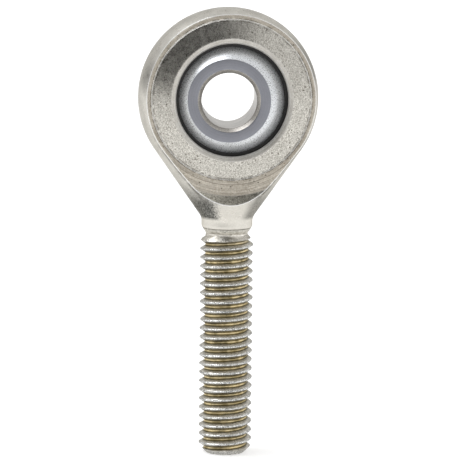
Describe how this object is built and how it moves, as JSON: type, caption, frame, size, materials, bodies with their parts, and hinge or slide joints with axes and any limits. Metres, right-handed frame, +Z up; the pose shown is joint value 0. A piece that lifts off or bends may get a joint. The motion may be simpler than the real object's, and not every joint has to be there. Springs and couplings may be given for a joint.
{
  "type": "rod end bearing",
  "caption": "Male rod end: a spherical eye with a swivelling ball and raised race ring, on a straight right-hand threaded shank.",
  "frame": {"origin": "centre of the ball and of its bore", "axes": "+Y square to the eye's flats, +Z up along the shank's axis away from the thread, +X to the right; at rest the ball's bore is swivelled 5 degrees about Z from +Y"},
  "size_m": [0.0158, 0.0086, 0.0397],
  "materials": {
    "plated_steel": "zinc plated, turned and milled",
    "race_steel": "plated over a blasted, swaged face",
    "liner_black": "matte",
    "ball_steel": "ground and hard plated"
  },
  "bodies": {
    "housing": {"rod_end_body": "plated_steel", "outer_race": "race_steel", "liner": "liner_black"},
    "ball": {"ball": "ball_steel"}
  },
  "joints": [
    {"name": "ball_swivel", "type": "hinge", "parent": "housing", "child": "ball", "pos_m": [0, 0, 0], "axis": [0, 0, 1], "range_deg": [-8, 18]}
  ]
}
